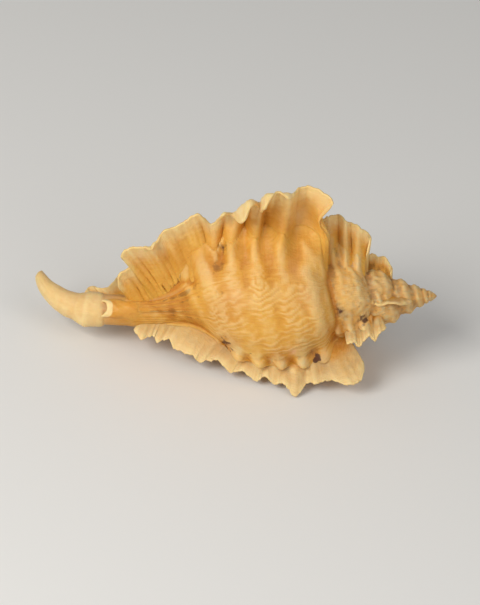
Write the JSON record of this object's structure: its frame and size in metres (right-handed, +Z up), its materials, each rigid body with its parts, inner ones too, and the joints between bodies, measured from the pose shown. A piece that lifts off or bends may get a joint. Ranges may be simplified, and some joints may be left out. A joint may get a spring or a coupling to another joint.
{
  "type": "murex shell",
  "caption": "Three-winged murex seashell, honey and cream, with fluted frilly wings, a pointed spire and a long curved canal, lying on its aperture side.",
  "frame": {"origin": "centre of the bounding box's bottom face, where the shell rests", "axes": "+X towards the apex of the spire, +Z up as it lies, and the best side faces up and towards -Y"},
  "size_m": [0.0674, 0.0366, 0.0339],
  "materials": {
    "shell": "natural shell, satin, honey with cream edges and deep orange hollows"
  },
  "bodies": {
    "root": {"shell": "shell"}
  },
  "joints": []
}
